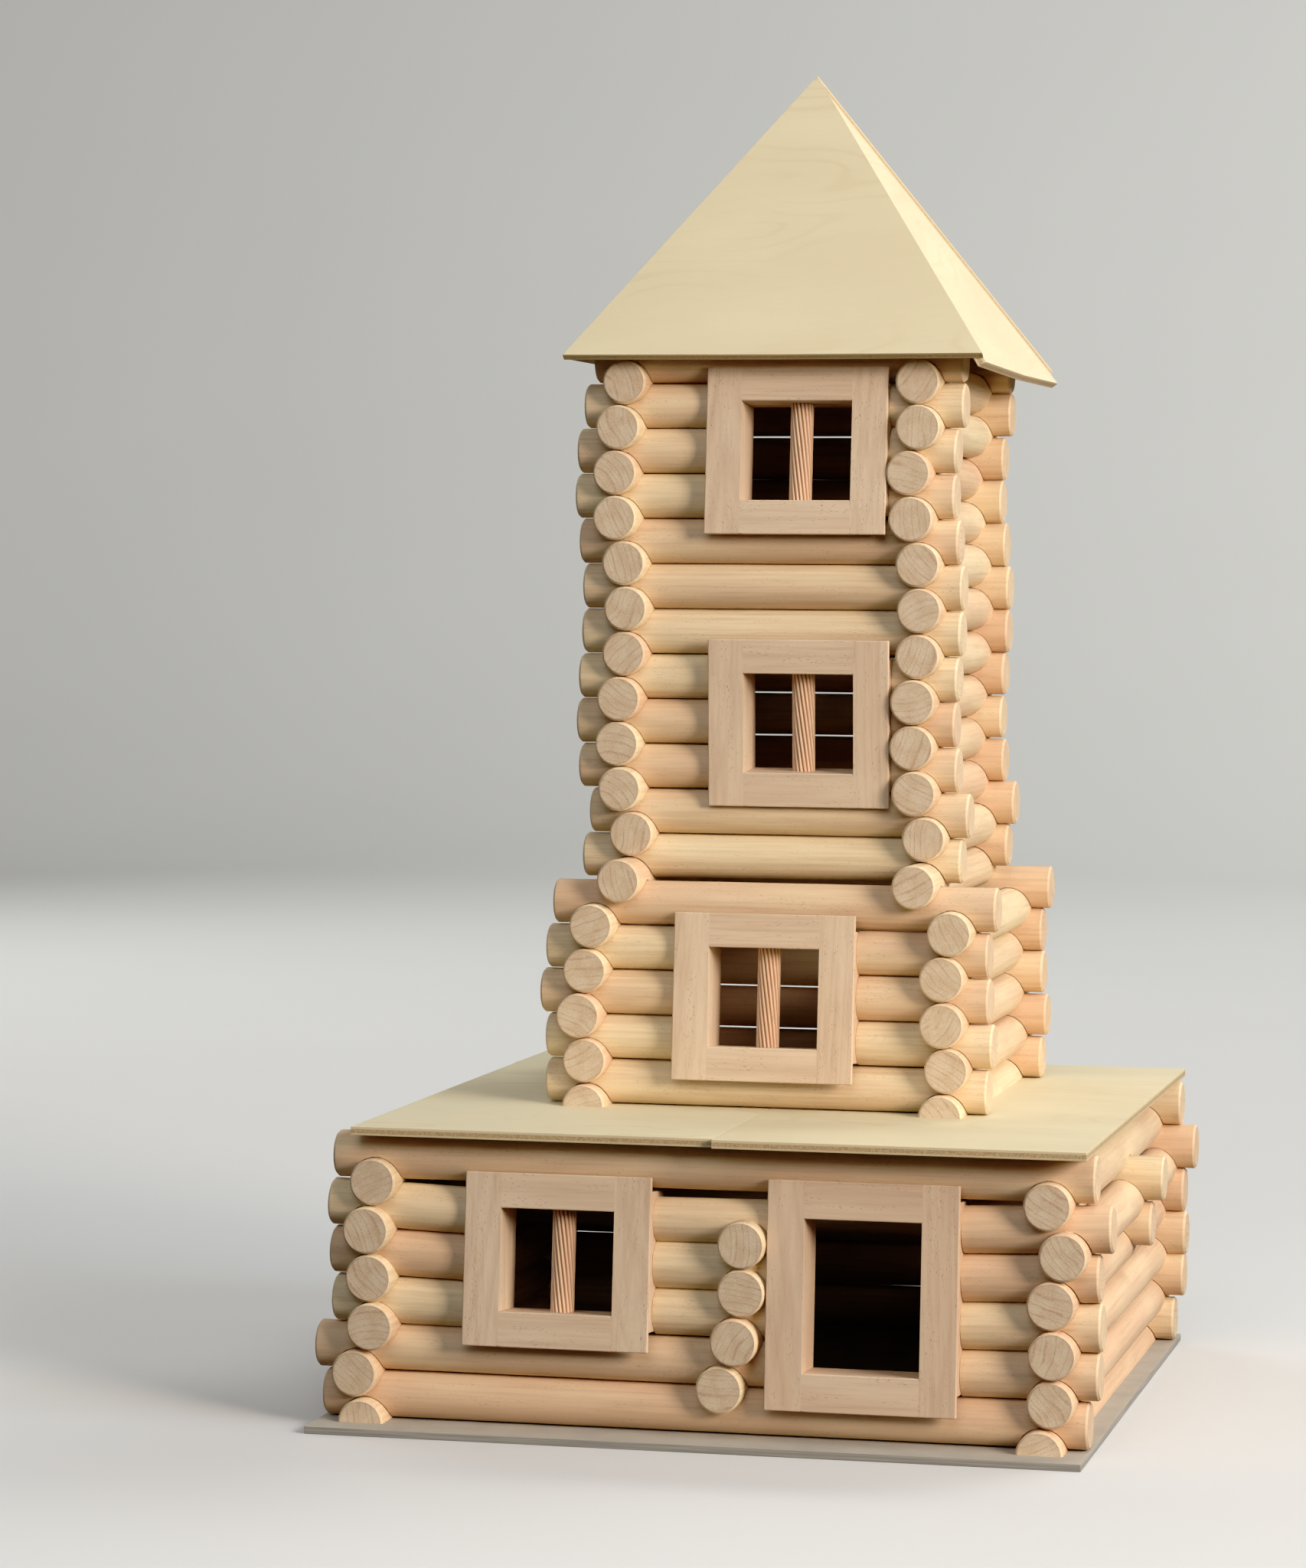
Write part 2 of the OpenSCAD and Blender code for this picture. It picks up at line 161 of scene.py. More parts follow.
def solid_wood(name, light, dark, line, end, ring_mm, ring_side, fleck, rim_painted_colour, rim_painted_mix):
    """Solid wood: year rings round an off-centre pith, fine fibres, pores and flecks along the grain.

    The grain attribute is a place in the trunk, x along it. Where cap is 1 the sawn end shows, and
    where rim is 1 a chamfer or the foot of a flute does. There the rim colour is mixed in as painted
    light: a painted highlight on a log's chamfers, painted shade in the foot of a dowel's flutes.
    """
    g = Graph(name)
    p = g.vec("SCALE", g.attr("grain"), scale=1.0 / MM)
    tone = g.attr("tone", "Fac")
    cap = g.attr("cap", "Fac")
    rim = g.attr("rim", "Fac")
    side = g.math("SUBTRACT", 1.0, cap)
    warp = g.noise(g.stretch(p, (0.010, 0.05, 0.05)), 1.0, 2.0, 0.5, "Color")
    warp = g.stretch(g.vec("SUBTRACT", warp, (0.5, 0.5, 0.5)), (0.0, 3.0, 3.0))
    q = g.vec("ADD", p, warp)
    # year rings: unevenly wide, with a late-wood band and a thin line in each
    radius = g.vec("LENGTH", g.stretch(q, (0.0, 1.0, 1.0)))
    uneven = g.noise(g.stretch(radius, (0.31, 0.0, 0.0)), 1.0, 1.0)
    faint = g.ramp(g.noise(g.stretch(radius, (0.0, 0.47, 0.0)), 1.0, 1.0), 0.35, 0.65, 0.1, 1.0)
    drift = g.times(g.noise(g.stretch(q, (0.003, 0.09, 0.09)), 1.0, 1.0), 1.3)
    drift = g.math("ADD", drift, g.times(uneven, 1.6))
    phase = g.math("FRACT", g.math("ADD", g.math("DIVIDE", radius, ring_mm), drift))
    late = g.ramp(g.math("ABSOLUTE", g.math("SUBTRACT", phase, 0.72)), 0.0, 0.3, 1.0, 0.0)
    width = g.ramp(g.noise(g.stretch(q, (0.0, 0.3, 0.3)), 1.0, 1.0), 0.3, 0.7, 0.10, 0.34)
    thin = g.math("DIVIDE", g.math("ABSOLUTE", g.math("SUBTRACT", phase, 0.62)), width)
    thin = g.ramp(thin, 0.0, 1.0, 1.0, 0.0)
    # fibres, wide streaks, soft clouds and the short dark flecks of beech
    fibre = g.noise(g.stretch(p, (0.07, 2.6, 2.6)), 1.0, 3.0, 0.6)
    coarse = g.noise(g.stretch(p, (0.022, 0.55, 0.55)), 1.0, 2.0, 0.5)
    cloud = g.noise(g.stretch(p, (0.012, 0.075, 0.075)), 1.0, 2.0, 0.5)
    dot = g.ramp(g.voronoi(g.stretch(p, (0.36, 2.3, 2.3))), 0.08, 0.26, 1.0, 0.0)
    pick = g.ramp(g.noise(g.stretch(p, (0.05, 0.3, 0.3)), 1.0, 1.0), 0.46, 0.64, 0.08, 1.0)
    flecks = g.times(dot, pick)
    # long faces
    shade = g.math("ADD", g.math("SUBTRACT", cloud, 0.5), tone)
    pale = tuple(min(1.0, c) for c in shaded(light, 1.14))
    col = g.mix(g.ramp(shade, 0.0, 1.0), light, dark)
    col = g.mix(g.times(late, ring_side), col, line)
    col = g.mix(g.times(g.ramp(coarse, 0.42, 0.72), 0.30), col, line)
    col = g.mix(g.times(g.ramp(fibre, 0.48, 0.76), 0.34), col, line)
    col = g.mix(g.times(g.ramp(cloud, 0.52, 0.3), 0.3), col, pale)
    col = g.mix(g.times(flecks, fleck), col, shaded(line, 0.55))
    # sawn ends: nearly straight, broken year lines, with open pores and a thin dark outline
    patch = g.noise(g.stretch(p, (0.0, 0.2, 0.2)), 1.0, 2.0, 0.55)
    grit = g.noise(g.stretch(p, (0.0, 1.5, 1.5)), 1.0, 3.0, 0.65)
    pores = g.ramp(g.noise(g.stretch(p, (0.0, 4.2, 4.2)), 1.0, 2.0), 0.54, 0.7)
    broken = g.ramp(g.noise(g.stretch(p, (0.0, 0.42, 0.42)), 1.0, 2.0, 0.6), 0.3, 0.6, 0.3, 1.0)
    year = (0.66 * end[0], 0.50 * end[1], 0.47 * end[2])
    lines = g.times(g.times(thin, faint), broken)
    face = g.mix(g.ramp(patch, 0.3, 0.7), end, (0.9 * end[0], 0.84 * end[1], 0.78 * end[2]))
    face = g.mix(g.times(lines, 0.7), face, year)
    face = g.mix(g.times(g.ramp(grit, 0.5, 0.72), 0.42), face, year)
    face = g.mix(g.times(g.ramp(grit, 0.5, 0.28), 0.3), face, shaded(end, 1.14))
    face = g.mix(g.times(pores, 0.16), face, shaded(year, 0.6))
    face = g.mix(g.times(rim, 0.8), face, year)
    col = g.mix(cap, col, face)
    # painted light at the rims: a painted highlight on a log's chamfers, painted shade in the foot of a
    # dowel's flutes
    col = g.mix(g.times(g.times(rim, side), rim_painted_mix), col, rim_painted_colour)
    g.put(g.bsdf.inputs["Base Color"], col)
    rough = g.math("ADD", 0.56, g.times(fibre, 0.2))
    rough = g.math("ADD", rough, g.times(cap, 0.14))
    g.put(g.bsdf.inputs["Roughness"], rough)
    g.bsdf.inputs["Specular IOR Level"].default_value = 0.28
    planed_height = g.math("ADD", g.times(fibre, 0.7), g.times(coarse, 0.5))
    planed_height = g.math("SUBTRACT", planed_height, g.times(flecks, 0.6))
    sawn_height = g.math("SUBTRACT", g.times(grit, 1.1), g.times(thin, 0.5))
    height = g.math("ADD", g.times(planed_height, side), g.times(sawn_height, cap))
    g.put(g.bsdf.inputs["Normal"], g.bump(height, 0.09 * MM, 0.6))
    return g.mat


EDGE_VENEER = 0.6  # how far the face veneers darken at a cut edge


def plywood(name, light, dark, line, core):
    """Birch plywood: a rotary-cut face with wide soft figure, and stacked plies along its edges.

    The grain attribute is a place in the sheet, x along the face veneer. Where cap is 1 the cut edge
    shows, and ply runs from 0 to 1 through the sheet.
    """
    g = Graph(name)
    p = g.vec("SCALE", g.attr("grain"), scale=1.0 / MM)
    tone = g.attr("tone", "Fac")
    edge = g.attr("cap", "Fac")
    depth = g.attr("ply", "Fac")
    swell = g.times(g.noise(g.stretch(p, (0.007, 0.021, 0.0)), 1.0, 2.0, 0.45), 15.0)
    ripple = g.noise(g.stretch(p, (0.02, 0.12, 0.0)), 1.0, 2.0, 0.5)
    phase = g.math("FRACT", g.math("ADD", swell, g.times(ripple, 0.8)))
    figure = g.ramp(g.math("ABSOLUTE", g.math("SUBTRACT", phase, 0.5)), 0.0, 0.22, 1.0, 0.0)
    strength = g.ramp(g.noise(g.stretch(p, (0.011, 0.02, 0.0)), 1.0, 1.0), 0.4, 0.7)
    fibre = g.noise(g.stretch(p, (0.05, 1.9, 1.9)), 1.0, 3.0, 0.6)
    cloud = g.noise(g.stretch(p, (0.012, 0.03, 0.0)), 1.0, 2.0)
    dot = g.ramp(g.voronoi(g.stretch(p, (0.3, 1.6, 1.6))), 0.08, 0.24, 1.0, 0.0)
    pick = g.ramp(g.noise(g.stretch(p, (0.03, 0.09, 0.0)), 1.0, 1.0), 0.45, 0.65)
    # the face veneer
    col = g.mix(g.ramp(g.math("ADD", g.math("SUBTRACT", cloud, 0.5), tone), 0.0, 1.0), light, dark)
    col = g.mix(g.times(g.times(figure, strength), 0.24), col, line)
    col = g.mix(g.times(g.ramp(fibre, 0.5, 0.8), 0.16), col, line)
    col = g.mix(g.times(g.times(dot, pick), 0.2), col, line)
    # the cut edge: end grain of the middle ply between the two face veneers
    cross = g.ramp(g.math("ABSOLUTE", g.math("SUBTRACT", depth, 0.46)), 0.2, 0.27, 1.0, 0.0)
    # painted shade: the lowest ply of a cut edge is darkened, for the shadow along the sheet's
    # underside
    under = g.ramp(depth, 0.12, 0.24, 1.0, 0.0)
    end_grain = g.noise(g.stretch(p, (1.6, 1.6, 1.6)), 1.0, 2.0)
    core_col = g.mix(g.ramp(end_grain, 0.35, 0.7), core, shaded(core, 0.66))
    side = g.mix(cross, g.mix(EDGE_VENEER, col, line), core_col)
    side = g.mix(g.times(under, 0.35), side, shaded(line, 0.8))
    g.put(g.bsdf.inputs["Base Color"], g.mix(edge, col, side))
    g.put(g.bsdf.inputs["Roughness"], g.math("ADD", 0.5, g.times(fibre, 0.25)))
    g.bsdf.inputs["Specular IOR Level"].default_value = 0.3
    height = g.math("ADD", g.times(fibre, 0.7), g.times(g.times(cross, edge), -1.2))
    g.put(g.bsdf.inputs["Normal"], g.bump(height, 0.06 * MM, 0.5))
    return g.mat


def chipboard(name):
    """Grey board: matted paper fibres, soft mottling and a slightly darker cut edge."""
    g = Graph(name)
    p = g.vec("SCALE", g.attr("grain"), scale=1.0 / MM)
    mottle = g.noise(g.stretch(p, (0.05, 0.05, 0.05)), 1.0, 3.0, 0.55)
    speck = g.noise(g.stretch(p, (1.1, 1.6, 1.4)), 1.0, 3.0, 0.65)
    strand = g.noise(g.stretch(p, (0.35, 2.2, 2.2)), 1.0, 2.0, 0.5, distortion=1.2)
    edge = g.attr("cap", "Fac")
    col = g.mix(g.ramp(mottle, 0.3, 0.7), (0.50, 0.455, 0.385), (0.44, 0.40, 0.34))
    col = g.mix(g.times(g.ramp(speck, 0.55, 0.75), 0.28), col, (0.26, 0.23, 0.19))
    col = g.mix(g.times(g.ramp(strand, 0.6, 0.8), 0.3), col, (0.62, 0.58, 0.5))
    layers = g.noise(g.stretch(p, (0.03, 0.03, 2.6)), 1.0, 2.0, 0.5)
    side = g.mix(g.ramp(layers, 0.4, 0.65), (0.33, 0.30, 0.26), (0.43, 0.40, 0.35))
    g.put(g.bsdf.inputs["Base Color"], g.mix(edge, col, side))
    g.put(g.bsdf.inputs["Roughness"], g.math("ADD", 0.74, g.times(speck, 0.2)))
    g.bsdf.inputs["Specular IOR Level"].default_value = 0.2
    height = g.math("ADD", speck, g.times(strand, 0.6))
    g.put(g.bsdf.inputs["Normal"], g.bump(height, 0.05 * MM, 0.6))
    return g.mat


# the logs' rim colour, lighter than their wood, is a painted highlight on the chamfers
LOG = solid_wood(
    "log_beech", light=(0.82, 0.67, 0.43), dark=(0.75, 0.515, 0.33), line=(0.54, 0.345, 0.20),
    end=(0.70, 0.565, 0.40), ring_mm=2.3, ring_side=0.16, fleck=0.6,
    rim_painted_colour=(0.86, 0.70, 0.45), rim_painted_mix=0.15)
PLANK = solid_wood(
    "frame_beech", light=(0.745, 0.585, 0.415), dark=(0.68, 0.49, 0.335), line=(0.50, 0.33, 0.22),
    end=(0.62, 0.47, 0.33), ring_mm=2.6, ring_side=0.20, fleck=0.95,
    rim_painted_colour=(0.8, 0.65, 0.45), rim_painted_mix=0.2)
# the dowel's dark rim colour is painted shade in the foot of its flutes
ROD = solid_wood(
    "dowel_beech", light=(0.92, 0.69, 0.48), dark=(0.84, 0.58, 0.39), line=(0.5, 0.28, 0.16),
    end=(0.6, 0.42, 0.3), ring_mm=1.2, ring_side=0.14, fleck=0.5,
    rim_painted_colour=(0.42, 0.20, 0.10), rim_painted_mix=0.8)
PLY = plywood(
    "birch_ply", light=(0.80, 0.725, 0.50), dark=(0.70, 0.61, 0.405), line=(0.60, 0.45, 0.26),
    core=(0.56, 0.40, 0.21))
BOARD = chipboard("grey_board")


# ---------------------------------------------------------------- mesh helpers


class Builder:
    """Collects the vertices, faces and surface data of one piece, in metres."""

    def __init__(self):
        self.verts, self.faces = [], []
        self.data = {"grain": [], "tone": [], "cap": [], "rim": [], "ply": []}

    def add(self, verts, faces, grain, tone, cap=None, rim=None, ply=None):
        start, n = len(self.verts), len(verts)
        self.verts.extend(verts)
        self.faces.extend(tuple(i + start for i in f) for f in faces)
        self.data["grain"].extend(grain)
        self.data["tone"].extend([tone] * n)
        for key, values in (("cap", cap), ("rim", rim), ("ply", ply)):
            self.data[key].extend([0.0] * n if values is None else values)

    def piece(self, name, material, node, angle, flat=False):
        """Make the object that stands for a CAD node. Edges over angle, in degrees, are sharp."""
        mesh = bpy.data.meshes.new(name)
        mesh.from_pydata([tuple(v) for v in self.verts], [], self.faces)
        for key, values in self.data.items():
            kind = "FLOAT_VECTOR" if key == "grain" else "FLOAT"
            attribute = mesh.attributes.new(key, kind, "POINT")
            row = np.array(values, dtype=np.float32).ravel()
            attribute.data.foreach_set("vector" if key == "grain" else "value", row)
        mesh.validate()
        mesh.update()
        mesh.shade_smooth()
        mesh.set_sharp_from_angle(angle=math.radians(angle))
        mesh.materials.append(material)
        obj = bpy.data.objects.new(name, mesh)
        bpy.context.scene.collection.objects.link(obj)
        if flat:  # the wide faces stay flat, and only the eased edges are shaded round
            keep = obj.modifiers.new("flat_faces", "WEIGHTED_NORMAL")
            keep.keep_sharp = True
            keep.weight = 100
        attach(obj, body_of_node[node])
        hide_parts(node)
        return obj


def quads_between_rings(rings, around):
    """Quads that join rings of vertices, each with the given number of points."""
    faces = []
    for i in range(rings - 1):
        a, b = i * around, (i + 1) * around
        for k in range(around):
            j = (k + 1) % around
            faces.append((a + k, a + j, b + j, b + k))
    return faces


def loose_parts(node):
    """The separate solids of a CAD node as (vertices, triangles) arrays, in a steady order."""
    mesh = nodes[node].data
    verts = np.array([v.co[:] for v in mesh.vertices])
    keys = {}
    same = np.array([keys.setdefault(tuple(np.round(v, 6)), len(keys)) for v in verts])
    spot = np.zeros((len(keys), 3))
    spot[same] = verts
    link = list(range(len(spot)))

    def root(i):
        while link[i] != i:
            link[i] = link[link[i]]
            i = link[i]
        return i

    mesh.calc_loop_triangles()
    tris = [tuple(same[i] for i in t.vertices) for t in mesh.loop_triangles]
    for t in tris:
        a = root(t[0])
        for i in t[1:]:
            link[root(i)] = a
    groups = {}
    for t in tris:
        groups.setdefault(root(t[0]), []).append(t)
    parts = []
    for group in groups.values():
        used = sorted({i for t in group for i in t})
        index = {i: k for k, i in enumerate(used)}
        faces = np.array([[index[i] for i in t] for t in group if len(set(t)) == 3])
        parts.append((spot[used], faces))
    parts.sort(key=lambda part: tuple(np.round(part[0].min(axis=0)[[2, 0, 1]], 4)))
    return parts


# ---------------------------------------------------------------- logs


LOG_WORDS = ("sills", "wall", "partition", "beams", "_front_", "foot_logs")
LOG_NODES = [n for n in nodes if any(word in n for word in LOG_WORDS)]
LEFT_TO_RIGHT = ("back", "beams", "long", "left", "mid", "right")  # how the names of X logs end
SIDE_WALLS = ("wall_left", "wall_right")
GAP = 0.3 * MM  # between a notch and the log that it sits on
AROUND = 56  # points round a log


def read_log(node, part):
    """Axis, ends, radius and lateral directions of one CAD log."""
    verts, tris = part
    lo, hi = verts.min(axis=0), verts.max(axis=0)
    along = 0 if node.endswith(LEFT_TO_RIGHT) and not node.endswith(SIDE_WALLS) else 1
    axis = np.eye(3)[along]
    a, b, c = verts[tris[:, 0]], verts[tris[:, 1]], verts[tris[:, 2]]
    normal = np.cross(b - a, c - a)
    area = np.linalg.norm(normal, axis=1)
    unit = normal / np.maximum(area, 1e-15)[:, None]
    ends = []
    for s in (-1, 1):
        cap = (unit @ axis) * s > 0.985
        ring = np.concatenate([a[cap], b[cap], c[cap]])
        reach = s * ring[:, along]
        ring = ring[reach > reach.max() - 0.0012]
        ends.append((ring.min(axis=0) + ring.max(axis=0)) / 2)
    half = "sills" in node
    start, end = ends
    if half:
        start[2] = end[2] = lo[2]
        r = hi[2] - lo[2]
    else:
        r = (hi[1 - along] - lo[1 - along]) / 2
    s = (end - start) / np.linalg.norm(end - start)
    v = np.cross((0, 0, 1), s)
    v /= np.linalg.norm(v)
    w = np.cross(s, v)
    return {"node": node, "start": start, "s": s, "v": v, "w": w, "r": float(r), "half": half,
            "len": float(np.linalg.norm(end - start)), "along": along}


logs = [read_log(node, part) for node in LOG_NODES for part in loose_parts(node)]
for log in logs:
    log["cad_r"] = log["r"]

# darker, redder logs on some walls: on the back walls this is painted shade, for the log ends that the
# light from the right misses; the ground storey's right-hand wall and long front logs are simply darker
# and redder
TONE_SHIFT = {
    "base_wall_right": 0.5, "base_wall_back": 0.3, "middle_wall_back": 0.3, "tower_wall_back": 0.3,
    "base_front_long": 0.45}
# back walls: seams that daylight shows through, counted from the wall's foot, and how far each is
# narrowed in mm; the others are shut
OPEN_SEAMS = {
    "base_wall_back": {0: 0.24, 1: 0.36},
    "middle_wall_back": {0: 0.0, 1: 0.0},
    "tower_wall_back": {2: 0.0, 3: 0.0, 9: 0.0}}
SHUT_SEAM = 0.3  # mm


def swell(group, seam_growth):
    """Let a wall's logs grow towards each other, by seam_growth(i) mm in the seam above log i."""
    group.sort(key=lambda log: log["start"][2])
    grow = [seam_growth(i) * MM for i in range(len(group) - 1)]
    for i, log in enumerate(group):
        below = grow[i - 1] if i else 0.0
        above = grow[i] if i < len(grow) else 0.0
        log["r"] += (below + above) / 2
        log["start"][2] += (above - below) / 2


for node in LOG_NODES:
    group = [log for log in logs if log["node"] == node]
    dice = random.Random(node + "-swell")
    if node.endswith("wall_back"):
        shown = OPEN_SEAMS[node]
        swell(group, lambda i: shown.get(i, SHUT_SEAM))
    elif "front" in node:
        swell(group, lambda i: 0.1 + 0.13 * dice.random())
    elif "wall" in node or "partition" in node:
        swell(group, lambda i: 0.08 + 0.1 * dice.random())


def droop(log, at_start, at_end):
    """Lower a log's two ends by the given distances."""
    start = log["start"] - np.array((0, 0, at_start))
    end = log["start"] + log["len"] * log["s"] - np.array((0, 0, at_end))
    log["start"], log["s"] = start, (end - start) / np.linalg.norm(end - start)
    log["w"] = np.cross(log["s"], log["v"])


def from_the_foot(node):
    """A wall's logs, lowest first."""
    return sorted((log for log in logs if log["node"] == node), key=lambda log: log["start"][2])


# the ground storey's short logs sag towards the frames, since nothing holds their inner ends up;
# the pairs say which of a log's left and right ends drop
SAG = 0.45 * MM  # more for each course further up
SAGGING_ENDS = {"base_front_left": (0, 1), "base_front_right": (1, 0), "base_front_mid": (1, 1)}
for node, (at_left, at_right) in SAGGING_ENDS.items():
    group = from_the_foot(node)
    for i, log in enumerate(group):
        sag = SAG * (i + 1)
        if node == "base_front_mid" and i == len(group) - 1:  # a thin log, which leaves a dark slot
            sag += 0.9 * MM
            log["r"] -= 0.5 * MM
        droop(log, sag * at_left, sag * at_right)

# one log of the ground storey's back wall lies askew, which opens the seams beside it
droop(from_the_foot("base_wall_back")[1], 0.7 * MM, -0.7 * MM)

# the short logs are cut square and tight where they meet a frame
BUTTS = {"_front_left": (False, True), "_front_mid": (True, True), "_front_right": (True, False)}
BUTT_REACH = 0.2 * MM
for log in logs:
    tail = next((tail for tail in BUTTS if log["node"].endswith(tail)), None)
    log["butts"] = BUTTS.get(tail, (False, False))
    if log["butts"][0]:
        log["start"] = log["start"] - BUTT_REACH * log["s"]
    log["len"] += BUTT_REACH * sum(log["butts"])


def crossings(log):
    """Distances along a log at which crossing logs pass under it, with their depth and radius."""
    found = []
    for other in logs:
        if other["along"] == log["along"]:
            continue
        # where the two axes pass each other, seen from above
        m = np.array([[log["s"][0], -other["s"][0]], [log["s"][1], -other["s"][1]]])
        t, u = np.linalg.solve(m, (other["start"] - log["start"])[:2])
        if not (-MM < t < log["len"] + MM and 0 < u < other["len"]):
            continue
        here = log["start"] + t * log["s"]
        there = other["start"] + u * other["s"]
        drop = here[2] - there[2]
        if 0.25 * log["r"] < drop < 1.8 * log["r"]:
            found.append((float(t), float(drop), other["cad_r"]))
    return sorted(found)


CHAMFER_ROWS = 6
END_RINGS = (0.03, 0.3, 0.62, 0.9)  # rings of a sawn end, as parts of its radius
NOTCH_STEPS = 14
LONGEST_STEP = 7 * MM
LEAST_NOTCH = 0.6 * MM  # half the width of a notch that a crossing log barely reaches


def end_profile(r, rng, butts):
    """(distance from the end, radius) from the cap's rim to the full radius."""
    depth, inset = (0.75 + 0.25 * rng.random()) * MM, (0.6 + 0.2 * rng.random()) * MM
    if butts:
        depth, inset = 0.12 * MM, 0.12 * MM
    rows = []
    for k in range(CHAMFER_ROWS):
        t = k / (CHAMFER_ROWS - 1)
        # a chamfer with both its corners eased
        ease = t - 0.10 * math.sin(2 * math.pi * t)
        rows.append((depth * (0.82 * t + 0.18 * t * t), r - inset * (1 - ease) ** 1.15))
    return rows


def log_rows(log, rng):
    """Rows of points along a log, each (s, v, w, cap, rim). Notches follow the crossing logs."""
    r, length = log["r"], log["len"]
    theta = np.array([2 * math.pi * k / AROUND for k in range(AROUND)])
    co, si = np.cos(theta), np.sin(theta)
    low = -np.abs(si) * r
    first, last = (end_profile(r, rng, butts) for butts in log["butts"])
    shrink = 1 - 0.004 * rng.random()
    rows = []

    def ring(s, radius, cap=0.0, rim=0.0):
        rows.append((np.full(AROUND, s), co * radius, si * radius, cap, rim))

    def chamfer(order, place):
        for k in order:
            corner = k in (0, CHAMFER_ROWS - 1)
            ring(*place(k), 1.0 if k == 0 else 0.0, 0.3 if corner else 1.0)

    for f in END_RINGS:
        ring(0.0, first[0][1] * f, 1.0)
    chamfer(range(CHAMFER_ROWS), lambda k: first[k])

    ends_at = (first[-1][0], length - last[-1][0])
    edge = np.full(AROUND, ends_at[0])

    def plain_to(goal):
        goal = np.clip(goal, *ends_at)
        steps = max(1, math.ceil(float(np.max(goal - edge)) / LONGEST_STEP))
        for k in range(1, steps + 1):
            rows.append((edge + (goal - edge) * k / steps, co * r * shrink, si * r * shrink, 0.0, 0.0))

    for t, drop, other in crossings(log):
        notch = other + GAP
        under = low + drop
        width = np.sqrt(np.maximum(notch * notch - under * under, 0.0))
        side = math.sqrt(max(notch * notch - drop * drop, LEAST_NOTCH ** 2))
        full = side + (notch - side) * np.maximum(si, 0.0)
        width = np.where(si < -1e-9, np.maximum(width, LEAST_NOTCH), full)
        plain_to(t - width)
        for k in range(NOTCH_STEPS + 1):
            u = -math.cos(math.pi * k / NOTCH_STEPS)
            s = np.clip(t + u * width, *ends_at)
            rise = -drop + np.sqrt(np.maximum(notch * notch - (s - t) ** 2, 0.0))
            w = si * r * shrink
            lifted = np.where(si < 1e-9, np.maximum(w, np.minimum(rise, -w)), w)
            rows.append((s, co * r * shrink, lifted, 0.0, 0.0))
        edge = np.clip(t + width, *ends_at)
    plain_to(np.full(AROUND, ends_at[1]))

    chamfer(range(CHAMFER_ROWS - 1, -1, -1), lambda k: (length - last[k][0], last[k][1]))
    for f in reversed(END_RINGS):
        ring(length, last[0][1] * f, 1.0)
    return rows


def add_log(build, log, rng):
    rows = log_rows(log, rng)
    s, v, w = (np.array([row[k] for row in rows]) for k in range(3))
    if log["half"]:
        w = np.maximum(w, 0.0)
    # a log is never quite straight or quite round
    bow = (rng.random() - 0.5) * 0.16 * MM
    lift = np.sin(np.pi * s / log["len"]) * bow
    wave_length = 0.055 + 0.03 * rng.random()
    wobble = 0.05 * MM * np.sin(2 * np.pi * s / wave_length + 6.28 * rng.random())
    scale = 1 - np.abs(wobble) / log["r"]
    spot = (log["start"] + s[..., None] * log["s"] + (v * scale + lift)[..., None] * log["v"]
            + (w * scale)[..., None] * log["w"])
    # where in a trunk the log was cut, and how far from its pith
    turn = rng.random() * 2 * math.pi
    pith = 18 * MM + 42 * MM * rng.random()
    grain_y = v * math.cos(turn) - w * math.sin(turn) + pith
    grain_z = v * math.sin(turn) + w * math.cos(turn)
    grain = np.stack([s + 3.0 * rng.random(), grain_y, grain_z], axis=-1)
    cap = np.repeat([row[3] for row in rows], AROUND)
    rim = np.repeat([row[4] for row in rows], AROUND)
    # the X logs' ends are mixed less towards the sawn-end colour: they show fewer year rings and come
    # out lighter, a painted highlight for the strong light on the right-hand ends
    if not log["along"]:  # the X logs' ends show less of their year rings
        cap = cap * 0.55
    faces = [tuple(reversed(face)) for face in quads_between_rings(len(rows), AROUND)]
    end = (len(rows) - 1) * AROUND
    faces.append(tuple(range(AROUND)))
    faces.append(tuple(range(end + AROUND - 1, end - 1, -1)))
    tone = 0.05 + 0.85 * rng.random() ** 1.2 + TONE_SHIFT.get(log["node"], 0.0)
    build.add(spot.reshape(-1, 3), faces, grain.reshape(-1, 3), tone=tone, cap=list(cap), rim=list(rim))


for node in LOG_NODES:
    build = Builder()
    for i, log in enumerate(log for log in logs if log["node"] == node):
        add_log(build, log, random.Random(f"{node}-{i}"))
    build.piece(node.replace("wall", "logs") + "_wood", LOG, node, angle=38)


# ---------------------------------------------------------------- frames, boards and dowels


PLANK_BEVEL = 0.5 * MM
JOINT_OVERLAP = 0.14 * MM  # how far a rail's ends reach into the stiles, so that no gap shows


def planed(part, bevel, segments=3, tight=lambda edge: False):
    """A CAD solid with flat faces, its planes merged and its edges eased. Returns a bmesh.

    Edges for which tight(edge) is true lie in a glued joint and stay sharp.
    """
    verts, tris = part
    bm = bmesh.new()
    made = [bm.verts.new(v) for v in verts]
    for t in tris:
        try:
            bm.faces.new([made[i] for i in t])
        except ValueError:  # a triangle that the tessellation gave twice
            pass
    bmesh.ops.dissolve_limit(bm, angle_limit=math.radians(1.0), verts=bm.verts, edges=bm.edges)
    bm.normal_update()
    sharp = [e for e in bm.edges if len(e.link_faces) == 2 and e.calc_face_angle(0) > math.radians(35)
             and e.calc_length() > 2.2 * bevel and not tight(e)]
    bmesh.ops.bevel(bm, geom=sharp, offset=bevel, offset_type="OFFSET", segments=segments, profile=0.6,
                    affect="EDGES", clamp_overlap=True)
    bmesh.ops.triangulate(bm, faces=[f for f in bm.faces if len(f.verts) > 4])
    bm.verts.index_update()
    return bm


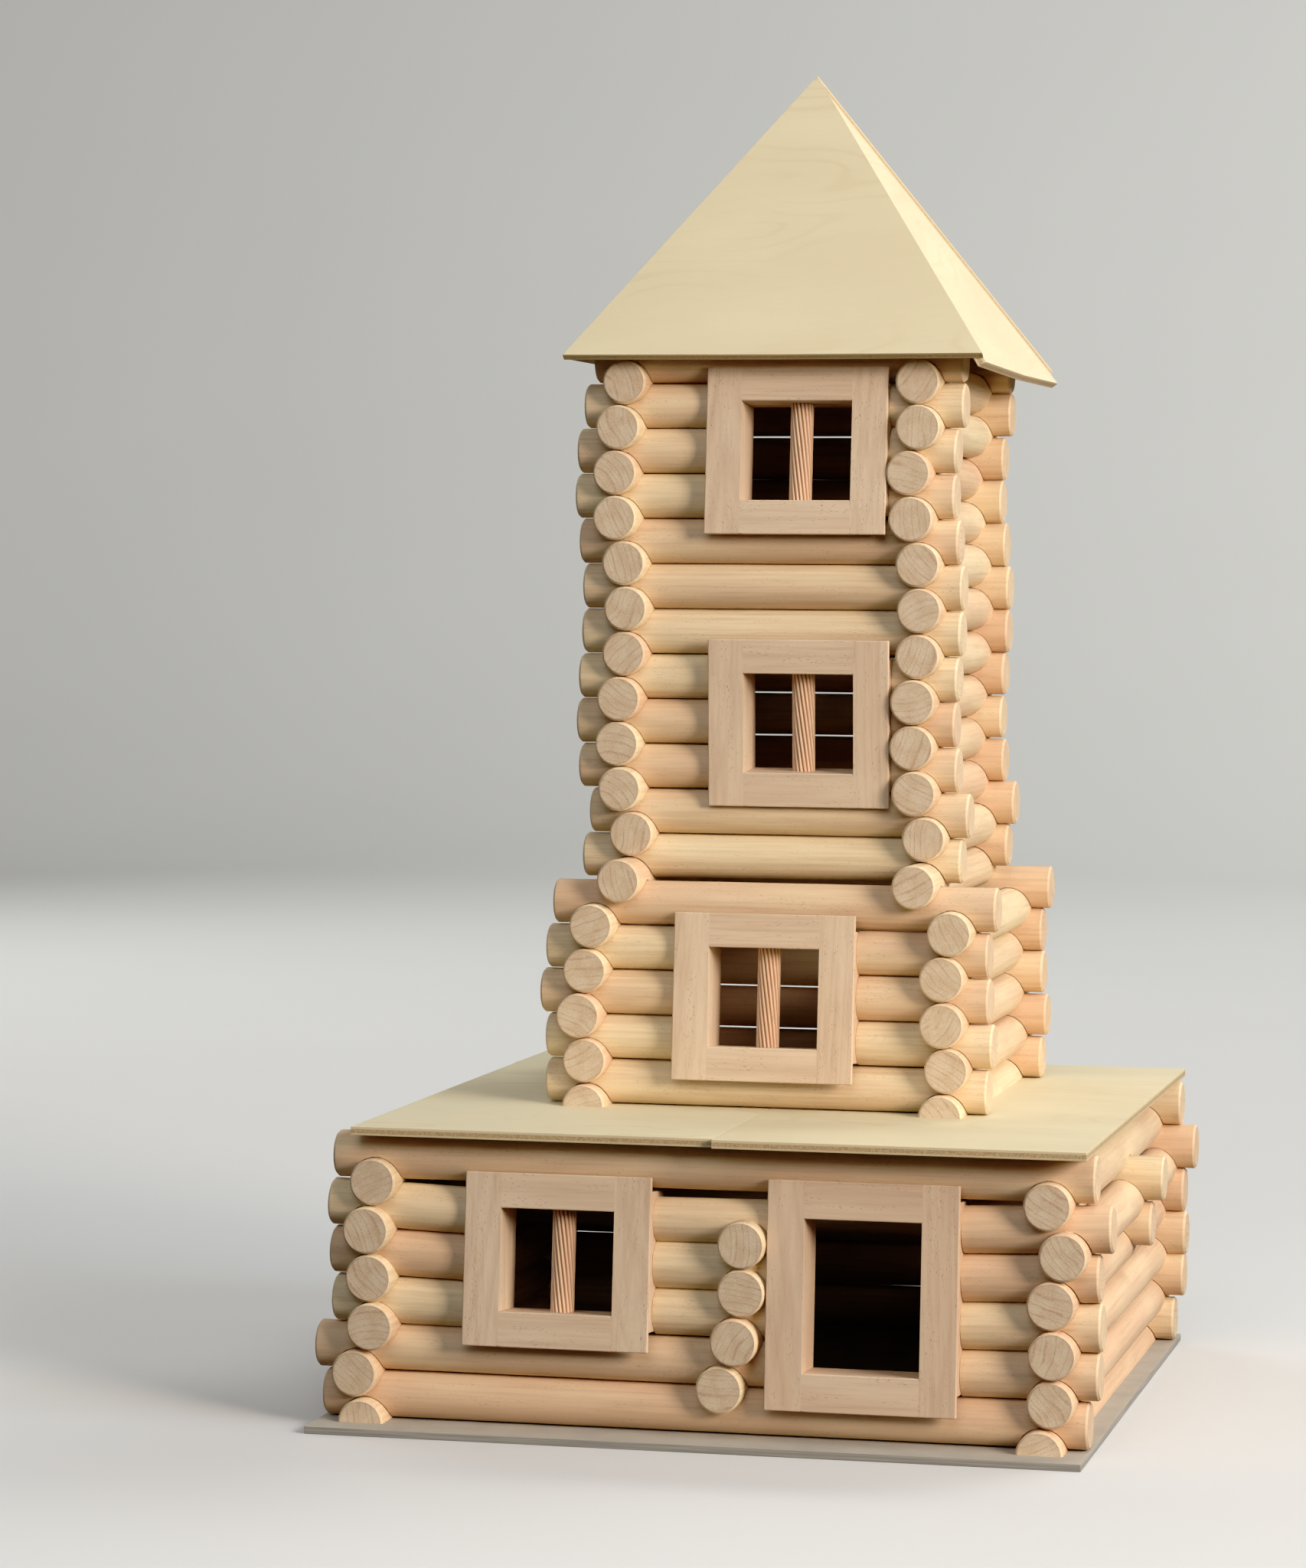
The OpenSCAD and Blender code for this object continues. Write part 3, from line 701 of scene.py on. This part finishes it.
def add_plank(build, part, axis, rng, tight, tone):
    """A planed bar whose grain runs along the given axis."""
    bm = planed(part, PLANK_BEVEL, tight=tight)
    low, high = part[0].min(axis=0), part[0].max(axis=0)
    centre = (low + high) / 2
    order = [(axis + k) % 3 for k in range(3)]
    turn = rng.random() * 2 * math.pi
    offset = (3 * rng.random(), (14 + 26 * rng.random()) * MM, (rng.random() - 0.5) * 20 * MM)
    if axis == 0:
        for v in bm.verts:
            if abs(v.co.x - low[0]) < 0.02 * MM:
                v.co.x -= JOINT_OVERLAP
            elif abs(v.co.x - high[0]) < 0.02 * MM:
                v.co.x += JOINT_OVERLAP
    grain, cap = [], []
    for v in bm.verts:
        p = [v.co[k] - centre[k] for k in order]
        y = p[1] * math.cos(turn) - p[2] * math.sin(turn)
        z = p[1] * math.sin(turn) + p[2] * math.cos(turn)
        grain.append((p[0] + offset[0], y + offset[1], z + offset[2]))
        on_end = all(abs(f.normal[axis]) > 0.9 for f in v.link_faces)
        cap.append(1.0 if on_end else 0.0)
    faces = [tuple(v.index for v in f.verts) for f in bm.faces]
    build.add([tuple(v.co) for v in bm.verts], faces, grain, tone=tone, cap=cap)
    bm.free()


def bar_joints(low, high, window_middle, upright):
    """Says which edges of a frame's bar lie in a joint: a rail's two ends, or a stile's inner face."""
    if upright:
        places = [high if (low + high) / 2 < window_middle else low]
    else:
        places = [low, high]
    return lambda edge: any(all(abs(v.co.x - place) < 1e-5 for v in edge.verts) for place in places)


for node in nodes:
    if node.endswith(("stiles", "rails")):
        build = Builder()
        upright = node.endswith("stiles")
        base_tone = random.Random(node.rsplit("_", 1)[0]).random()
        spans = [(part[0][:, 0].min(), part[0][:, 0].max()) for part in loose_parts(node)]
        window_middle = sum(low + high for low, high in spans) / (2 * len(spans))
        for i, part in enumerate(loose_parts(node)):
            rng = random.Random(f"{node}-{i}")
            tone = 0.25 + 0.4 * base_tone + 0.16 * rng.random()
            tight = bar_joints(*spans[i], window_middle, upright)
            add_plank(build, part, 2 if upright else 0, rng, tight, tone)
        build.piece(node + "_wood", PLANK, node, angle=40, flat=True)


def add_sheet(build, part, normal, grain_dir, rng, bevel, tone):
    """A plywood or board sheet: ply runs from 0 to 1 through it, and cap is 1 on its cut edges."""
    normal, grain_dir = Vector(normal).normalized(), Vector(grain_dir).normalized()
    across = normal.cross(grain_dir)
    bm = planed(part, bevel, 2)
    depth = [Vector(v).dot(normal) for v in part[0]]
    low, thick = min(depth), max(depth) - min(depth)
    offset = (3 * rng.random(), 3 * rng.random())
    verts, grain, cap, ply, faces = [], [], [], [], []
    seen = {}
    for f in bm.faces:
        on_edge = abs(f.normal.dot(normal)) < 0.8
        face = []
        for v in f.verts:
            key = (v.index, on_edge)
            if key not in seen:
                seen[key] = len(verts)
                verts.append(tuple(v.co))
                d = v.co.dot(normal)
                grain.append((v.co.dot(grain_dir) + offset[0], v.co.dot(across) + offset[1], d))
                cap.append(1.0 if on_edge else 0.0)
                ply.append((d - low) / thick)
            face.append(seen[key])
        faces.append(tuple(face))
    build.add(verts, faces, grain, tone=tone, cap=cap, ply=ply)
    bm.free()


def sheet_piece(node, normal, grain_dir, material, bevel, tone):
    build = Builder()
    rng = random.Random(node)
    for part in loose_parts(node):
        add_sheet(build, part, normal, grain_dir, rng, bevel, tone)
    build.piece(node + "_sheet", material, node, angle=40, flat=True)


def panel_normal(node):
    """Outward normal of a roof panel: that of its largest upward face."""
    verts, tris = loose_parts(node)[0]
    a, b, c = verts[tris[:, 0]], verts[tris[:, 1]], verts[tris[:, 2]]
    n = np.cross(b - a, c - a)
    up = n[n[:, 2] > 0]
    best = up[np.argmax(np.linalg.norm(up, axis=1))]
    return Vector(best / np.linalg.norm(best))


UPWARD = (0, 0, 1)
sheet_piece("deck_left", UPWARD, (1, 0.04, 0), PLY, 0.25 * MM, 0.0)
sheet_piece("deck_right", UPWARD, (1, -0.05, 0), PLY, 0.25 * MM, 0.45)
# the right-hand panel's higher tone is painted shade, dimming the panel that the right-hand lamps light
# most
ROOF_TONES = {"roof_front": 0.75, "roof_back": 0.6, "roof_left": 0.6, "roof_right": 0.7}
for node, tone in ROOF_TONES.items():
    out = panel_normal(node)
    level = Vector(UPWARD).cross(out)
    grain_dir = level + 0.12 * out.cross(level)  # a little off level, as the panels were cut
    sheet_piece(node, out, grain_dir, PLY, 0.2 * MM, tone)
sheet_piece("board", UPWARD, (1, 0, 0), BOARD, 0.3 * MM, 0.5)


FLUTES = 17
POINTS_PER_FLUTE = 8
FLUTE_DEPTH = 0.55 * MM
FLUTE_TURNS = -0.24  # over the dowel's length; negative leans the flutes to the left going up
DOWEL_ROWS = 48


def add_dowel(build, part, rng):
    """A dowel with spiral flutes and eased ends, along the CAD dowel's leaning axis."""
    spots = part[0]
    middle = (spots.min(axis=0) + spots.max(axis=0)) / 2
    foot = spots[spots[:, 2] < middle[2]].mean(axis=0)
    head = spots[spots[:, 2] > middle[2]].mean(axis=0)
    radius = (spots[:, 0].max() - spots[:, 0].min()) / 2
    length = np.linalg.norm(head - foot)
    up_axis = (head - foot) / length
    side_axis = np.array((1.0, 0.0, 0.0))
    back_axis = np.cross(up_axis, side_axis)
    around = FLUTES * POINTS_PER_FLUTE
    spin = rng.random()
    turn = rng.random() * 6.28
    eased = 0.4 * MM
    rise = (length - 2 * eased) / DOWEL_ROWS
    rows = [(0.0, 0.05, False), (0.0, 0.84, False)]
    rows += [(eased + rise * k, 1.0, True) for k in range(DOWEL_ROWS + 1)]
    rows += [(length, 0.84, False), (length, 0.05, False)]
    verts, grain, dark = [], [], []
    for z, part_radius, fluted in rows:
        for k in range(around):
            a = 2 * math.pi * (k / around + FLUTE_TURNS * z / length + spin)
            wave = math.cos(2 * math.pi * k / POINTS_PER_FLUTE)
            depth = max(0.0, wave + 0.15) ** 0.8 if fluted else 0.0
            r = radius * part_radius - FLUTE_DEPTH * depth
            x, y = r * math.cos(a), r * math.sin(a)
            verts.append(tuple(foot + x * side_axis + y * back_axis + z * up_axis))
            grain.append((z + 2 * turn, x * math.cos(turn) - y * math.sin(turn) + 14 * MM,
                          x * math.sin(turn) + y * math.cos(turn)))
            # the flute depth goes to rim, where the dowel material paints shade into the grooves
            dark.append(depth)
    faces = quads_between_rings(len(rows), around)
    faces.append(tuple(range(around - 1, -1, -1)))
    top = (len(rows) - 1) * around
    faces.append(tuple(range(top, top + around)))
    build.add(verts, faces, grain, tone=0.2 + 0.6 * rng.random(), rim=dark)


for node in nodes:
    if node.endswith("dowel"):
        build = Builder()
        add_dowel(build, loose_parts(node)[0], random.Random(node))
        build.piece(node + "_fluted", ROD, node, angle=60)


# ---------------------------------------------------------------- studio and camera


def stage_material():
    g = Graph("studio_paper")
    at = g.add("ShaderNodeTexCoord").outputs["Object"]
    col = g.mix(g.noise(at, 3.0, 2.0), (0.70, 0.70, 0.69), (0.73, 0.73, 0.72))
    g.put(g.bsdf.inputs["Base Color"], col)
    g.bsdf.inputs["Roughness"].default_value = 0.9
    return g.mat


def sweep(reach=4.6, radius=1.6, height=7.0, around=96, steps=16):
    """A round floor that curves up into a backdrop on every side."""
    profile = []
    for k in range(steps + 1):
        a = math.pi / 2 * k / steps
        profile.append((reach - radius + radius * math.sin(a), radius - radius * math.cos(a)))
    profile.append((reach, height))
    turns = [2 * math.pi * k / around for k in range(around)]
    verts = [(r * math.cos(t), r * math.sin(t), z) for r, z in profile for t in turns]
    faces = [tuple(range(around))]
    faces += [tuple(reversed(face)) for face in quads_between_rings(len(profile), around)]
    mesh = bpy.data.meshes.new("studio_sweep")
    mesh.from_pydata(verts, [], faces)
    mesh.shade_smooth()
    mesh.materials.append(stage_material())
    obj = bpy.data.objects.new("studio_sweep", mesh)
    bpy.context.scene.collection.objects.link(obj)
    obj.visible_diffuse = False  # the tower's undersides stay deep, as they would over a dark table


def area_light(name, place, target, size, power, colour):
    data = bpy.data.lights.new(name, "AREA")
    data.shape = "RECTANGLE"
    data.size = data.size_y = size
    data.energy = power
    data.color = colour
    obj = bpy.data.objects.new(name, data)
    bpy.context.scene.collection.objects.link(obj)
    obj.location = place
    obj.rotation_euler = (Vector(target) - Vector(place)).to_track_quat("-Z", "Y").to_euler()


MIDDLE = Vector((0, 0, 0.22))


def around_tower(azimuth, elevation, distance):
    """A place seen from the tower's middle; azimuth 0 is the right (+X) and 90 the front (-Y)."""
    a, e = math.radians(azimuth), math.radians(elevation)
    out = Vector((math.cos(a) * math.cos(e), -math.sin(a) * math.cos(e), math.sin(e)))
    return MIDDLE + distance * out


# name, azimuth, elevation, distance, size, watts, colour
LIGHTS = (
    ("right_cool", 14, 26, 2.0, 0.8, 18, (0.80, 0.92, 1.0)),
    ("right_warm", 35, 15, 2.0, 0.6, 34, (1.0, 0.86, 0.745)),
    ("front", 88, 33, 2.2, 1.2, 12.5, (0.88, 0.95, 1.0)),
    ("left_fill", 130, 20, 2.2, 1.2, 2.8, (1.0, 0.93, 0.88)),
    ("top", 90, 86, 2.0, 1.4, 6.3, (1.0, 0.88, 0.76)),
    ("rear", 222, 24, 2.4, 1.4, 14, (0.97, 0.98, 1.0)),
)
sweep()
for name, azimuth, elevation, distance, size, power, colour in LIGHTS:
    area_light(name, around_tower(azimuth, elevation, distance), MIDDLE, size, power, colour)
area_light("backdrop", (1.84, 2.5, 3.98), (1.2, 4.78, 1.0), 2.45, 180, (1.0, 1.0, 0.96))
world = bpy.data.worlds.new("studio")
bpy.context.scene.world = world
world.use_nodes = True
world.node_tree.nodes["Background"].inputs["Color"].default_value = (0.9, 0.92, 1.0, 1)
world.node_tree.nodes["Background"].inputs["Strength"].default_value = 0.02

EYE = (0.3481, -1.6954, 0.2970)
YAW, PITCH, ROLL = (math.radians(angle) for angle in (13.06, -2.55, 0.39))
camera = bpy.data.cameras.new("camera")
camera.lens = 109.07
camera.sensor_width = 36.0
camera.clip_start, camera.clip_end = 0.05, 50
eye = bpy.data.objects.new("camera", camera)
bpy.context.scene.collection.objects.link(eye)
ahead = Vector((-math.sin(YAW) * math.cos(PITCH), math.cos(YAW) * math.cos(PITCH), math.sin(PITCH)))
level = Vector((math.cos(YAW), math.sin(YAW), 0))
above = level.cross(ahead)
right = math.cos(ROLL) * level + math.sin(ROLL) * above
up = math.cos(ROLL) * above - math.sin(ROLL) * level
eye.matrix_world = Matrix.Translation(EYE) @ Matrix((right, up, -ahead)).transposed().to_4x4()
bpy.context.scene.camera = eye

look = bpy.context.scene.view_settings
look.view_transform = "Standard"
look.use_curve_mapping = True
ALL_CHANNELS = 3
for light_in, light_out in ((0.02, 0.007), (0.10, 0.092)):  # keeps the deepest shadows dark
    look.curve_mapping.curves[ALL_CHANNELS].points.new(light_in, light_out)
look.curve_mapping.update()
